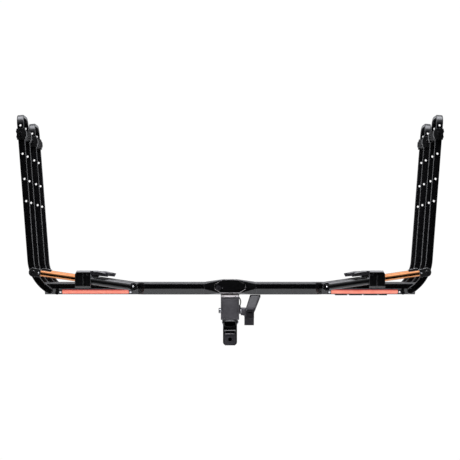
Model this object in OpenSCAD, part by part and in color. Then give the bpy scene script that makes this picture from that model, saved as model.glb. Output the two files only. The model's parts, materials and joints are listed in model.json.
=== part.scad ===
// Two-bike platform rack for a 2 inch hitch receiver, deployed level with all four arms open.
// Millimetres. Origin: centre of the hitch pin hole. +X right seen from behind the car,
// +Y toward the car, +Z up. The rear tray is the one farther from the car.

/* [Hitch tongue] */
// Outside width and height of the square tongue
tongue_w = 50; // [48:0.5:50.5]
// Wall of the tongue
tongue_wall = 6; // [4:0.5:6]
// Hitch pin hole diameter
pin_hole_d = 16.5; // [13:0.5:17]
// From the hitch pin to the front tip of the tongue
tongue_front = 70; // [68:1:72]
// From the hitch pin to the rear end of the tongue
tongue_rear = 250; // [246:1:254]

/* [Tilt pivot] */
// Height of the tilt pivot above the tongue axis
pivot_h = 115; // [112:1:118]
// From the hitch pin back to the tilt pivot
pivot_back = 205; // [200:1:208]
// Outside width over the two bracket plates
bracket_w = 57; // [56:0.5:58]
// Diameter of the pivot axle
axle_d = 16; // [14:1:18]

/* [Spine] */
// Outside width of the spine tube
spine_w = 67; // [66:1:70]
// Wall of the spine tube
spine_wall = 4; // [3:0.5:4]
// Bottom of the spine tube above the tongue axis
spine_z = 98; // [98:1:104]

/* [Trays] */
// From the hitch pin back to the rear tray's centre line
tray_back = 790; // [780:1:800]
// Between the two trays' centre lines
tray_spacing = 338; // [330:1:345]
// Overall length of a tray
tray_l = 1362; // [1350:2:1370]
// Top of the trays above the tongue axis
tray_top = 234; // [235:0.5:237]
// Wall of the tray tubes
tray_wall = 3; // [2:0.5:3]

/* [Arms] */
// Height of the hairpin arms' tops above the tongue axis
arm_top = 850; // [820:5:900]
// Width of the flat bar
bar_w = 24.5; // [22:0.5:25]
// Thickness of the flat bar
bar_t = 10; // [8:0.5:10]
// Between the centre planes of an arm's two bars
bar_gap = 142; // [142:1:146]
// Outward lean of an open arm, in degrees
arm_lean = 4.35; // [4:0.05:5]
// Centre line radius of the arm's lower bend
arm_bend_r = 139; // [136:1:142]
// Diameter of the adjustment holes
hole_d = 8.2; // [8:0.1:9]

/* [Struts] */
// Diameter of the strut rod
rod_d = 22; // [20:0.5:22]
// Outside diameter of the strut cylinder
cylinder_d = 29; // [29:0.5:30]

/* [Hidden] */
REAR = 0;
FRONT = 1;
LEFT = 1;
RIGHT = -1;

$fn = 48;
eps = 0.5;
// Radial clearance of a running fit, and the gap between pieces that only pass each other
run = 0.05;
gap = 0.4;

coat = [0.07, 0.07, 0.08];
coat_grey = [0.2, 0.2, 0.22];
steel = [0.72, 0.72, 0.74];
gold = [0.86, 0.6, 0.3];
rubber = [0.05, 0.05, 0.05];
red = [0.9, 0.25, 0.22];
cast = [0.1, 0.1, 0.11];

// Tongue
th = tongue_w / 2;
pin_r = pin_hole_d / 2;
cut_mid_y = tongue_front - th;
rod_half_h = 14;
rod_half_w = 8;
draw_r = 6;
draw_travel = 3;
bulkhead_y = -222;

// Pivot
pivot = [0, -pivot_back, pivot_h];
axle_r = axle_d / 2;
plate_t = 6;
plate_x = bracket_w / 2;
bolt_y = -215;
bolt_z = 68;
bolt_r = 5;
sector_r = 52;
latch_r = 6;
latch_rest = sector_r + latch_r + 1;
latch_travel = 12;
lever_turn = 10;
lever_run = 622;
lever_rise = 68.2;
notch_angles = [0, 35, -90];

// Spine
spine_top = 190;
cheek_x = spine_w / 2;
head_x = cheek_x + 3.5;
nut_x = cheek_x + 28;
spine_open = 88;
spine_rear = tray_back + 99;

// Trays: profile points in a tray's own Y and Z, rear side negative
tray_bottom = spine_top;
wing_y = 55;
nose_y = 106;
side_low = 211;
side_high = 228.6;
top_in = 9;
bottom_in = 17;
center_x = 336;
nose_x = 311;
wing_end = tray_l / 2;
hub_x = 95;
hub_rear = 112;
// Corners of the hub's right half seen from the rear
hub_top = [25.5, 244.5];
hub_shoulder = [56, 228];
hub_flank = [56, 210];
hub_foot = [33.5, 195];
lock_x = -42;
lock_z = 213.6;
lock_r = 8.3;
stud_x = -27.5;

// Arms, drawn for the left side in a tray's own Y
H = [-660.5, 203.5];
leg = 13.7;
arm_turn = 50;
leg_angle = arm_lean + arm_turn;
arc_start = H + leg * [-sin(leg_angle), cos(leg_angle)];
arc_center = arc_start + arm_bend_r * [cos(leg_angle), sin(leg_angle)];
bar_foot = arc_center - arm_bend_r * [cos(arm_lean), sin(arm_lean)];
bar_l = (arm_top - bar_foot[1]) / cos(arm_lean);
loop_r = 33;
bar_y = bar_gap / 2;
bar_in = bar_y - bar_t / 2;
bar_out = bar_y + bar_t / 2;
arm_pin_r = 6;
hole_heights = [808.7, 777, 705.2, 613.3, 532.4];
cradle_z = 777;
cradle_h = 40;
cradle_wall = 5;
saddle_x = 20;

// Struts, drawn for the left side in a tray's own Y
C = [-352, 218.4];
P = [-716, 271];
strut_y = -93;
strut_l = norm(P - C);
strut_angle = atan2(P[1] - C[1], C[0] - P[0]);
rod_r = rod_d / 2;
cylinder_r = cylinder_d / 2;
bore_r = cylinder_r - 1.9;
stroke = 123.5;
eye_pin_r = 8;
base_pin_r = 6;
lever_pin = [-519, 264];
lever_pin_r = 3;
head_outer = 213.7;

function along(h) = (h - bar_foot[1]) / cos(arm_lean);
function tray_y(tray) = tray == REAR ? -tray_back : -tray_back + tray_spacing;

// ---------- helpers ----------

// A box between two opposite corners
module block(low, high) {
    translate(low) cube(high - low);
}

// A cylinder along Y between two Y values, centred on [x, z]
module rod_along_y(x, z, y0, y1, r) {
    translate([x, y0, z]) rotate([-90, 0, 0]) cylinder(r = r, h = y1 - y0);
}

// A cylinder along X between two X values, centred on [y, z]
module rod_along_x(y, z, x0, x1, r) {
    translate([x0, y, z]) rotate([0, 90, 0]) cylinder(r = r, h = x1 - x0);
}

// A hexagon head along X
module hex_along_x(y, z, x0, x1, across) {
    translate([x0, y, z]) rotate([0, 90, 0]) cylinder(d = across / cos(30), h = x1 - x0, $fn = 6);
}

// An outline given in [Y, Z], extruded from x0 to x1
module side_profile(x0, x1) {
    translate([x0, 0, 0]) rotate([90, 0, 90]) linear_extrude(x1 - x0) children();
}

// An outline given in [X, Z], extruded from y0 to y1
module front_profile(y0, y1) {
    translate([0, y1, 0]) rotate([90, 0, 0]) linear_extrude(y1 - y0) children();
}

// A rectangle with round corners, centred on the origin
module round_rect(w, h, r) {
    square([w - 2 * r, h], center = true);
    square([w, h - 2 * r], center = true);
    for (x = [-1, 1], y = [-1, 1]) translate([x * (w / 2 - r), y * (h / 2 - r)]) circle(r);
}

// Points of a circle's arc from angle a0 to a1, about c
function arc_points(c, r, a0, a1, n) =
    [for (i = [0:n]) let (a = a0 + (a1 - a0) * i / n) c + r * [cos(a), sin(a)]];

// A slot with round ends at points a and b
module slot_outline(a, b, r) {
    turn = atan2(b[1] - a[1], b[0] - a[0]);
    polygon(concat(arc_points(a, r, turn + 90, turn + 270, 16),
        arc_points(b, r, turn - 90, turn + 90, 16)));
}

// Moves a piece drawn for the left side in a tray's own Y to its tray and side
module at(tray, side) {
    translate([0, tray_y(tray), 0]) mirror([side == LEFT ? 0 : 1, 0, 0]) children();
}

// The straight bars' own frame: origin at their foot, +Z up along them, -X outboard
module on_bars() {
    translate([bar_foot[0], 0, bar_foot[1]]) rotate([0, -arm_lean, 0]) children();
}

// The strut's own frame: origin at its base pin, +X out toward the rod end
module on_strut() {
    translate([C[0], strut_y, C[1]]) rotate([0, 180 + strut_angle, 0]) children();
}

// ---------- hitch side ----------

// Square outline with chamfered lower corners
module tongue_outline(half, chamfer) {
    polygon([[-half, half], [half, half], [half, chamfer - half], [half - chamfer, -half],
        [chamfer - half, -half], [-half, chamfer - half]]);
}

module hitch_tongue() {
    color(coat) difference() {
        union() {
            difference() {
                front_profile(-tongue_rear, tongue_front) tongue_outline(th, 5);
                front_profile(-tongue_rear - eps, tongue_front + eps)
                    tongue_outline(th - tongue_wall, 2);
            }
            // Bulkhead that the draw bolt's head bears on
            block([-th + 4, bulkhead_y, -th + 4], [th - 4, bulkhead_y + 8, th - 4]);
        }
        rod_along_x(0, 0, -th - eps, th + eps, pin_r);
        rod_along_y(0, 0, bulkhead_y - eps, bulkhead_y + 9, draw_r + 0.3);
        // The slanted front face that the wedge climbs
        translate([0, cut_mid_y, 0]) rotate([-45, 0, 0])
            block([-th - 1, -2 * tongue_w, 0], [th + 1, 2 * tongue_w, 2 * tongue_w]);
    }
}

module tongue_end_plate() {
    plate = tongue_w - 3;
    plug = tongue_w - 2 * tongue_wall - 0.3;
    color(coat_grey) difference() {
        union() {
            front_profile(-tongue_rear - 3, -tongue_rear - 0.02) round_rect(plate, plate, 3);
            front_profile(-tongue_rear - 0.02, -tongue_rear + 9) round_rect(plug, plug, 3);
        }
        rod_along_y(0, 0, -tongue_rear - 4, -tongue_rear + 10, 8);
        // Bright sloping edge along the top, and the groove under it
        translate([0, -tongue_rear - 3, plate / 2 - 2.5]) rotate([45, 0, 0])
            block([-th, -6, 0], [th, 6, 12]);
        block([-18, -tongue_rear - 4, 13.5], [18, -tongue_rear - 1.8, 18.5]);
    }
}

// Outline of a bracket plate in [Y, Z], with the latch notches in its round top
module bracket_outline() {
    difference() {
        union() {
            translate([pivot[1], pivot[2]]) circle(sector_r, $fn = 96);
            polygon([[-250, -27], [-250, 50], [-236, 70], [-205, 115], [-160, 90],
                [-156, 50], [-156, -27]]);
        }
        for (a = notch_angles)
            translate([pivot[1] - (sector_r - 1) * cos(a), pivot[2] - (sector_r - 1) * sin(a)])
                circle(latch_r + 0.4);
    }
}

module pivot_bracket() {
    color(coat) difference() {
        union() {
            for (s = [-1, 1])
                side_profile(min(s * plate_x, s * (plate_x - plate_t)),
                    max(s * plate_x, s * (plate_x - plate_t))) bracket_outline();
            // Spacer around the bolt, and cross bars between the plates
            rod_along_x(bolt_y, bolt_z, -plate_x + 1, plate_x - 1, bolt_r + 4);
            block([-plate_x + 1, -246, 46.5], [plate_x - 1, -228, 53]);
            block([-plate_x + 1, -176, 34], [plate_x - 1, -164, 88]);
        }
        // The tongue fits between the plates, which are thinner beside it
        block([-th, -300, -40], [th, -100, th]);
        rod_along_x(pivot[1], pivot[2], -40, 40, axle_r + run);
        rod_along_x(bolt_y, bolt_z, -40, 40, bolt_r + run);
        // Chamfered lower corners
        for (s = [-1, 1]) translate([s * plate_x, 0, -14]) rotate([0, s * 24, 0])
            block([s > 0 ? 0 : -20, -300, -30], [s > 0 ? 20 : 0, -100, 0]);
    }
}

module bracket_bolts() {
    color(steel) {
        union() {
            rod_along_x(bolt_y, bolt_z, -plate_x, plate_x + 6, bolt_r);
            hex_along_x(bolt_y, bolt_z, -plate_x - 4, -plate_x, 16);
        }
        difference() {
            hex_along_x(bolt_y, bolt_z, plate_x + 0.02, plate_x + 4.5, 16);
            rod_along_x(bolt_y, bolt_z, plate_x - 1, plate_x + 6, bolt_r + run);
        }
        // Washers on the axle, outside the spine's cheeks
        for (x = [-head_x + 0.5, cheek_x + 0.9]) difference() {
            rod_along_x(pivot[1], pivot[2], x, x + 2.1, 13);
            rod_along_x(pivot[1], pivot[2], x - 1, x + 4, axle_r + run);
        }
    }
}

module pivot_axle() {
    color(cast) {
        rod_along_x(pivot[1], pivot[2], -head_x, nut_x + 8, axle_r);
        difference() {
            hex_along_x(pivot[1], pivot[2], nut_x, nut_x + 7, 22);
            rod_along_x(pivot[1], pivot[2], nut_x - 1, nut_x + 9, axle_r + run);
        }
        difference() {
            rod_along_x(pivot[1], pivot[2], -head_x - 9.5, -head_x, 11);
            rod_along_x(pivot[1], pivot[2], -head_x - 10, -head_x - 6, 5);
        }
    }
}

// The bolt that draws the wedge, turned through the end plate's hole
module cam_draw_bolt() {
    color(cast) difference() {
        union() {
            rod_along_y(0, 0, bulkhead_y - 1, -62, draw_r);
            rod_along_y(0, 0, bulkhead_y - 11, bulkhead_y - 0.5, 10);
        }
        translate([0, bulkhead_y - 12, 0]) rotate([-90, 0, 0]) cylinder(d = 11.5, h = 8, $fn = 6);
    }
}

// The bar that the draw bolt pulls: its slot passes the hitch pin
module draw_rod() {
    color(steel) difference() {
        union() {
            block([-rod_half_w, -95, -rod_half_h], [rod_half_w, 63, rod_half_h]);
            block([-13, 62, -rod_half_h], [13, 67, rod_half_h]);
        }
        rod_along_y(0, 0, -96, -22, draw_r + run);
        slot_r = pin_r + 0.5;
        rod_along_x(0, 0, -20, 20, slot_r);
        rod_along_x(draw_travel, 0, -20, 20, slot_r);
        block([-20, 0, -slot_r], [20, draw_travel, slot_r]);
    }
}

module cam_wedge() {
    half = th - 0.5;
    color(coat_grey) difference() {
        block([-half, cut_mid_y - th, -half], [half, tongue_front, half]);
        // Slanted face, parallel to the tongue's and just clear of it
        translate([0, cut_mid_y, 0]) rotate([-45, 0, 0])
            block([-th - 1, -2 * tongue_w, -2 * tongue_w], [th + 1, 2 * tongue_w, 0.2]);
        low = -rod_half_h - draw_travel - gap;
        high = rod_half_h + gap;
        block([-rod_half_w - gap, 0, low], [rod_half_w + gap, tongue_front + 1, high]);
        block([-13 - gap, 62 - gap, low], [13 + gap, tongue_front + 1, high]);
    }
}

// ---------- tilting frame ----------

// Side outline of a spine cheek in [Y, Z], from the pivot back to the closed tube
module cheek_outline() {
    translate([pivot[1], pivot[2]]) circle(24);
    polygon([[pivot[1], pivot[2] - 22], [pivot[1] + 22, pivot[2]],
        [pivot[1] - 35, spine_top], [pivot[1] - spine_open - 1, spine_top],
        [pivot[1] - spine_open - 1, spine_z], [pivot[1] - 60, spine_z]]);
}

module spine() {
    inner = cheek_x - spine_wall;
    closed = pivot[1] - spine_open;
    color(coat) difference() {
        union() {
            difference() {
                block([-cheek_x, -spine_rear, spine_z], [cheek_x, closed, spine_top]);
                block([-inner, -spine_rear - 1, spine_z + spine_wall],
                    [inner, closed + 1, spine_top - spine_wall]);
            }
            side_profile(-cheek_x, -inner) cheek_outline();
            side_profile(inner, cheek_x) cheek_outline();
        }
        rod_along_x(pivot[1], pivot[2], -cheek_x - 1, cheek_x + 1, axle_r + 2);
        // Slots that guide the latch pin away from the pivot
        slot_r = latch_r + 0.3;
        near = pivot[1] - latch_rest;
        for (y = [near, near - latch_travel])
            rod_along_x(y, pivot[2], -cheek_x - 1, cheek_x + 1, slot_r);
        block([-cheek_x - 1, near - latch_travel, pivot[2] - slot_r],
            [cheek_x + 1, near, pivot[2] + slot_r]);
        // Holes for the tray bolts
        for (tray = [REAR, FRONT], x = [-18, 18]) translate([x, tray_y(tray), spine_z - 1])
            cylinder(r = 5.3, h = spine_top - spine_z + 2);
    }
}

// Outline of the spine's end cap in [Y, Z]: a sloping top edge and a small lower one
module cap_outline() {
    face = -spine_rear - 10;
    polygon([[-spine_rear - 0.02, spine_z], [-spine_rear - 0.02, spine_top - 0.5],
        [-spine_rear - 1.5, spine_top - 1], [face, spine_top - 11], [face, spine_z + 4],
        [face + 4, spine_z]]);
}

module spine_end_cap() {
    face = -spine_rear - 10;
    inner = cheek_x - spine_wall - 0.2;
    color(coat_grey) difference() {
        union() {
            side_profile(-cheek_x, cheek_x) cap_outline();
            block([-inner, -spine_rear - 1, spine_z + spine_wall + 0.2],
                [inner, -spine_rear + 12, spine_top - spine_wall - 0.2]);
        }
        // Chamfered side edges
        for (s = [-1, 1]) translate([s * cheek_x, face, 0]) rotate([0, 0, 45])
            block([-2.5, -2.5, spine_z - 1], [2.5, 2.5, spine_top + 1]);
        // Groove around the flat centre panel
        difference() {
            block([-27.5, face - 1, spine_z + 5], [27.5, face + 1.2, spine_top - 15]);
            block([-25.5, face - 2, spine_z + 7], [25.5, face + 2, spine_top - 17]);
        }
        // Hollow inside
        block([-inner + 3, -spine_rear - 7, spine_z + 9],
            [inner - 3, -spine_rear + 13, spine_top - 14]);
    }
}

module pivot_bushes() {
    thin = cheek_x - spine_wall - plate_x - 0.1;
    color(steel) for (s = [-1, 1]) mirror([s < 0 ? 1 : 0, 0, 0]) difference() {
        union() {
            rod_along_x(pivot[1], pivot[2], plate_x + 0.08, cheek_x + 0.6, axle_r + 1.95);
            rod_along_x(pivot[1], pivot[2], plate_x + 0.08, plate_x + thin, 20);
        }
        rod_along_x(pivot[1], pivot[2], plate_x - 1, cheek_x + 1, axle_r + run);
    }
}

// Profile of a tray in its own [Y, Z]; rear is how far it reaches back, inset thins it all round
module tray_outline(rear, inset) {
    i = inset;
    polygon([[-rear + top_in + i / 2, tray_top - i], [wing_y - top_in - i / 2, tray_top - i],
        [wing_y - i, side_high - i / 2], [wing_y - i, side_low + i / 2],
        [wing_y - bottom_in - i / 2, tray_bottom + i], [-rear + bottom_in + i / 2, tray_bottom + i],
        [-rear + i, side_low + i / 2], [-rear + i, side_high - i / 2]]);
}

// The deep centre of a tray, its rear nose ending in slanted faces
module tray_center(lock) {
    slant = atan2(center_x - nose_x, nose_y - wing_y);
    difference() {
        side_profile(-center_x, center_x) tray_outline(nose_y, 0);
        side_profile(-center_x - 1, center_x + 1) tray_outline(wing_y, tray_wall);
        side_profile(-nose_x + 12, nose_x - 12) tray_outline(nose_y, tray_wall);
        for (s = [-1, 1]) mirror([s < 0 ? 1 : 0, 0, 0])
            translate([center_x, -wing_y, tray_bottom - 1]) rotate([0, 0, -slant])
                block([0, -80, 0], [60, 0, 60]);
        for (x = [-18, 18]) translate([x, 0, tray_bottom - 1]) cylinder(r = 5.3, h = 10);
        if (lock) rod_along_y(lock_x, lock_z, -nose_y - 1, -nose_y + 10, lock_r + 0.3);
    }
}

module tray_centers() {
    color(coat) for (tray = [REAR, FRONT]) translate([0, tray_y(tray), 0])
        tray_center(tray == REAR);
}

module tray_wings() {
    color(coat) for (tray = [REAR, FRONT], side = [LEFT, RIGHT]) at(tray, side) difference() {
        side_profile(-wing_end + 3, -center_x - 0.02) tray_outline(wing_y, 0);
        side_profile(-wing_end, -center_x + 1) tray_outline(wing_y, tray_wall);
        rod_along_y(H[0], H[1], -wing_y - 1, wing_y + 1, arm_pin_r + run);
    }
}

module wing_end_caps() {
    color(coat_grey) for (tray = [REAR, FRONT], side = [LEFT, RIGHT]) at(tray, side)
        difference() {
            union() {
                side_profile(-wing_end, -wing_end + 2.98) tray_outline(wing_y, 0);
                side_profile(-wing_end + 2, -wing_end + 11) tray_outline(wing_y, tray_wall + 0.2);
            }
            side_profile(-wing_end + 3, -wing_end + 12) tray_outline(wing_y, tray_wall + 3);
        }
}

// Cast cover where a tray crosses the spine: an octagon behind, blended down to the tray
module tray_hub(lock) {
    octagon = [[-hub_top[0], hub_top[1]], hub_top, hub_shoulder, hub_flank, hub_foot,
        [-hub_foot[0], hub_foot[1]], [-hub_flank[0], hub_flank[1]],
        [-hub_shoulder[0], hub_shoulder[1]]];
    difference() {
        hull() {
            front_profile(-hub_rear, -hub_rear + 1) polygon(octagon);
            front_profile(wing_y + 5, wing_y + 6) polygon(octagon);
            for (x = [-hub_x, hub_x - 1]) side_profile(x, x + 1) tray_outline(nose_y + 1, -0.8);
        }
        side_profile(-hub_x - 1, hub_x + 1) tray_outline(nose_y, -0.02);
        block([-hub_x - 1, -hub_rear - 1, 150], [hub_x + 1, wing_y + 10, tray_bottom + 0.02]);
        if (lock) rod_along_y(lock_x, lock_z, -hub_rear - 1, -hub_rear + 16, lock_r + run);
        if (lock) rod_along_y(stud_x, lock_z, -hub_rear - 1, -hub_rear + 3, 1.8);
    }
}

module tray_hubs() {
    color(cast) for (tray = [REAR, FRONT]) translate([0, tray_y(tray), 0])
        tray_hub(tray == REAR);
}

// Block on the tray's rear side with the pin that the strut's base turns on
module strut_brackets() {
    color(coat) for (tray = [REAR, FRONT], side = [LEFT, RIGHT]) at(tray, side) {
        block([C[0] - 14, -77, side_low], [C[0] + 14, -wing_y - 0.02, side_high]);
        rod_along_y(C[0], C[1], -108, -76, base_pin_r);
        rod_along_y(C[0], C[1], -111, -108, 9);
    }
}

module arm_pivot_pins() {
    color(cast) for (tray = [REAR, FRONT], side = [LEFT, RIGHT]) at(tray, side) {
        rod_along_y(H[0], H[1], -bar_out - 2.4, bar_out + 2.4, arm_pin_r);
        rod_along_y(H[0], H[1], -bar_out - 2.4, -bar_out - 0.3, 9);
        // Spacer between the tray and each bar, and the clip on the far end
        for (y = [[-bar_in + 0.2, -wing_y - 0.02], [wing_y + 0.02, bar_in - 0.2],
            [bar_out + 0.3, bar_out + 2]]) difference() {
            rod_along_y(H[0], H[1], y[0], y[1], 10);
            rod_along_y(H[0], H[1], y[0] - 1, y[1] + 1, arm_pin_r + run);
        }
    }
}

// The lower rear facet's own frame: origin at its middle, +Y up along it, -Z out from it
module on_facet(x0, x1) {
    tilt = atan2(side_low - tray_bottom, bottom_in);
    translate([x0, -wing_y + bottom_in / 2, (side_low + tray_bottom) / 2])
        rotate([180 - tilt, 0, 0]) block_run(x1 - x0) children();
}

// Extrudes an outline along X for a length
module block_run(length) {
    rotate([90, 0, 90]) linear_extrude(length) children();
}

light_x0 = -616;
light_x1 = -372;

module light_housings() {
    color(coat) for (side = [LEFT, RIGHT]) at(REAR, side) {
        difference() {
            on_facet(light_x0 - 13, light_x1 + 13) translate([-9.4, 0.02]) square([22.8, 3.5]);
            on_facet(light_x0 - 0.2, light_x1 + 0.2) translate([-6.7, 1]) square([19.4, 4]);
            on_light_screws() cylinder(r = 2.1, h = 9, center = true);
        }
        // Round foot beside the outer end
        rod_along_y(light_x0 - 18.5, 196, -wing_y - 5, -wing_y + 6, 7);
    }
}

module light_lenses() {
    color(red) for (side = [LEFT, RIGHT]) at(REAR, side) on_facet(light_x0, light_x1)
        polygon([[-6.5, 1.02], [12.5, 1.02], [12.5, 4.2], [10.5, 5.8], [-4.5, 5.8], [-6.5, 4.2]]);
}

module on_light_screws() {
    tilt = atan2(side_low - tray_bottom, bottom_in);
    for (x = [light_x0 - 6.5, light_x1 + 6.5])
        translate([x, -wing_y + bottom_in / 2, (side_low + tray_bottom) / 2])
            rotate([180 - tilt, 0, 0]) translate([0, 1.5, 3.5]) children();
}

module frame_screws() {
    color(steel) {
        for (side = [LEFT, RIGHT]) at(REAR, side) on_light_screws() {
            translate([0, 0, 0.02]) cylinder(r = 4, h = 2.4);
            translate([0, 0, -3.3]) cylinder(r = 2, h = 4);
        }
        // Tray bolts up through the spine, with a nut inside each tray
        for (tray = [REAR, FRONT], x = [-18, 18]) translate([x, tray_y(tray), 0]) {
            translate([0, 0, spine_z - 6]) cylinder(d = 19.6, h = 5.98, $fn = 6);
            translate([0, 0, spine_z - 1]) cylinder(r = 5, h = spine_top - spine_z + 16);
            translate([0, 0, tray_bottom + tray_wall + 0.02]) difference() {
                cylinder(d = 19.6, h = 8, $fn = 6);
                translate([0, 0, -1]) cylinder(r = 5 + run, h = 12);
            }
        }
        // Indicator stud beside the lock
        rod_along_y(stud_x, lock_z, tray_y(REAR) - hub_rear - 1.2, tray_y(REAR) - hub_rear + 2.8, 1.7);
    }
}

// Flat cable channel in four lengths under the rear tray, and the loop past the tilt pivot
module wiring_conduit() {
    loop_y = -238;
    loop_z = 151;
    bow = 28.4;
    half = 42;
    color(rubber) {
        for (x = [[387, 432], [438, 487], [492, 544], [547, 578]])
            translate([0, tray_y(REAR), 0]) block([x[0], -36, tray_bottom - 3.6],
                [x[1], -20, tray_bottom - 0.02]);
        translate([cheek_x + 2.7 - bow * cos(half), loop_y, loop_z]) rotate([90, half, 0])
            rotate_extrude(angle = 2 * half, $fn = 96) translate([bow, 0]) circle(2.2, $fn = 24);
        for (s = [-1, 1]) rod_along_x(loop_y, loop_z + s * bow * sin(half), cheek_x + 0.02,
            cheek_x + 3.2, 3.2);
    }
}

module lock_core() {
    y = tray_y(REAR) - hub_rear;
    color(coat_grey) difference() {
        rod_along_y(lock_x, lock_z, y - 1.5, y + 15, lock_r);
        block([lock_x - 1, y - 2, lock_z - 4.1], [lock_x + 1, y + 6, lock_z + 4.1]);
    }
}

// ---------- tilt lever and latch ----------

// Where the latch pin sits in the lever's own [Y, Z] about the pivot, lever turned by a
function cam_point(a) = let (r = latch_rest + latch_travel * a / lever_turn)
    [-r * cos(a), r * sin(a)];

// Foot plate seen from behind, in [X, Z]: neck from the hub, plate with a slot near its top
module foot_plate_outline() {
    difference() {
        polygon([[44, 96], [44, 121], [54, 121], [59, 116], [64, 122], [101, 122], [98, 104],
            [98, 84], [58, 84], [58, 95]]);
        translate([49, 87]) circle(9.6);
        translate([81, 109]) round_rect(20, 7.5, 3.7);
    }
}

// A bar along the channel's line: half its width, and how far its lower and upper faces sit below
module channel_bar(half, low, high, start) {
    slope = atan2(lever_rise, lever_run);
    sweep = atan2(11, lever_run);
    translate([82, pivot[1] - 16, 121]) rotate([-slope, 0, sweep])
        block([-half, -lever_run, -low], [half, start, -high]);
}

module tilt_lever() {
    plate_y = pivot[1] - 19;
    hub_x0 = cheek_x + 3.5;
    a = cam_point(0);
    b = cam_point(lever_turn);
    color(coat_grey) difference() {
        union() {
            // Hub on the axle and the cam plate that pulls the latch pin
            rod_along_x(pivot[1], pivot[2], hub_x0, hub_x0 + 24, 13);
            side_profile(hub_x0, hub_x0 + 6) translate([pivot[1], pivot[2]])
                polygon([[3, 11], [-40, 14], [a[0] - 14, 14], [b[0] - 10, 22], [b[0] - 10, -4],
                    [-62, -12], [3, -11]]);
            front_profile(plate_y, plate_y + 5) foot_plate_outline();
            block([68, plate_y + 3.2, 103], [94, plate_y + 5, 115]);
            block([45, plate_y + 2, 103], [57, pivot[1] - 4, 119]);
            // Lower half of the foot plate, bent forward
            translate([58.5, plate_y + 0.6, 84.6]) rotate([14, 0, 0])
                block([0, 0, -30], [39, 4.6, 0.6]);
            // Long channel rising rearward under the trays
            difference() {
                channel_bar(19, 9, 0, 4);
                channel_bar(16, 10, 3, 12);
            }
        }
        rod_along_x(pivot[1], pivot[2], 30, 70, axle_r + run);
        // Cam slot, wide enough for the pin at every angle
        side_profile(hub_x0 - 2, hub_x0 + 8) translate([pivot[1], pivot[2]])
            slot_outline(a, b, latch_r + 0.9);
    }
}

module latch_pin() {
    y = pivot[1] - latch_rest;
    color(steel) {
        rod_along_x(y, pivot[2], -cheek_x - 5, cheek_x + 12, latch_r);
        rod_along_x(y, pivot[2], -cheek_x - 8, -cheek_x - 4.9, 9);
    }
}

// ---------- arm sets, drawn for the left side ----------

// Hairpin outline in the bars' own [Y, Z], from their foot to the loop
module hairpin(half, top, corner, foot) {
    translate([-half, foot]) square([2 * half, top - corner - foot]);
    translate([-half + corner, foot]) square([2 * (half - corner), top - foot]);
    for (s = [-1, 1]) translate([s * (half - corner), top - corner]) circle(corner);
}

// One bar in the bars' own [X, Z]: straight, lower bend, leg and round foot
module bar_outline(top) {
    w = bar_w / 2;
    center = [arm_bend_r, 0];
    foot = center - arm_bend_r * [cos(arm_turn), sin(arm_turn)]
        + leg * [sin(arm_turn), -cos(arm_turn)];
    polygon(concat([[-w, top]],
        arc_points(center, arm_bend_r + w, 180, 180 + arm_turn, 24),
        arc_points(foot, w, 180 + arm_turn, 360 + arm_turn, 24),
        arc_points(center, arm_bend_r - w, 180 + arm_turn, 180, 24),
        [[w, top]]));
}

module arm() {
    corner = loop_r + bar_t / 2;
    straight = bar_l - 2 * corner - 4;
    color(coat) difference() {
        on_bars() {
            for (y = [-bar_out, bar_in]) front_profile(y, y + bar_t) bar_outline(straight);
            side_profile(-bar_w / 2, bar_w / 2) difference() {
                hairpin(bar_out, bar_l, corner, straight);
                hairpin(bar_in, bar_l - bar_t, corner - bar_t, straight - 1);
            }
        }
        rod_along_y(H[0], H[1], -bar_out - 1, bar_out + 1, arm_pin_r + run);
        // Adjustment holes through both bars
        on_bars() for (h = hole_heights)
            rod_along_y(0, along(h), -bar_out - 1, bar_out + 1, hole_d / 2);
    }
}

// Cradle body that slides on both bars and reaches across between them
module cradle() {
    h = cradle_h / 2;
    in = bar_in - cradle_wall;
    out = bar_out + cradle_wall;
    free = gap;
    color(cast) on_bars() translate([0, 0, along(cradle_z)]) difference() {
        union() {
            for (y = [[-out, -in], [in, out]]) {
                intersection() {
                    rod_along_y(0, 0, y[0], y[1], 21.5);
                    block([-bar_w / 2 - 3, y[0], -h], [saddle_x, y[1], h]);
                }
                block([-bar_w / 2 - 3, y[0], -h], [bar_w / 2 + 4, y[1], h]);
                // Two finger lobes on the outboard side
                for (z = [-9.5, 9.5]) rod_along_y(-bar_w / 2 + 4, z, y[0], y[1], 9);
            }
            block([-bar_w / 2 - 3, -in, -16], [10, in, 16]);
        }
        // Passages for the two bars
        for (y = [-bar_out, bar_in])
            block([-bar_w / 2 - free, y - free, -h - 1], [bar_w / 2 + free, y + bar_t + free, h + 1]);
        // Saddle for the tyre's tread
        translate([50, 0, -h - 1]) cylinder(r = 55, h = cradle_h + 2, $fn = 128);
        rod_along_y(0, 0, -out - 1, -bar_out, 3.9 + run);
    }
}

module cradle_pad() {
    reach = bar_in - cradle_wall - 8;
    color(rubber) on_bars() translate([0, 0, along(cradle_z)]) difference() {
        intersection() {
            translate([50, 0, -15]) cylinder(r = 54.98, h = 30, $fn = 128);
            block([-20, -reach, -15], [saddle_x - 1, reach, 15]);
        }
        translate([50, 0, -16]) cylinder(r = 50, h = 32, $fn = 128);
        for (z = [-9, 0, 9]) block([-4, -reach - 1, z - 1], [30, reach + 1, z + 1]);
    }
}

// Spring pin with its pull knob, tip just clear of the bar
module cradle_pin() {
    out = bar_out + cradle_wall;
    color(cast) on_bars() translate([0, 0, along(cradle_z)]) {
        rod_along_y(0, 0, -out - 8, -bar_out - 0.3, 3.9);
        rod_along_y(0, 0, -out - 10, -out - 6, 6.5);
    }
}

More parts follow.
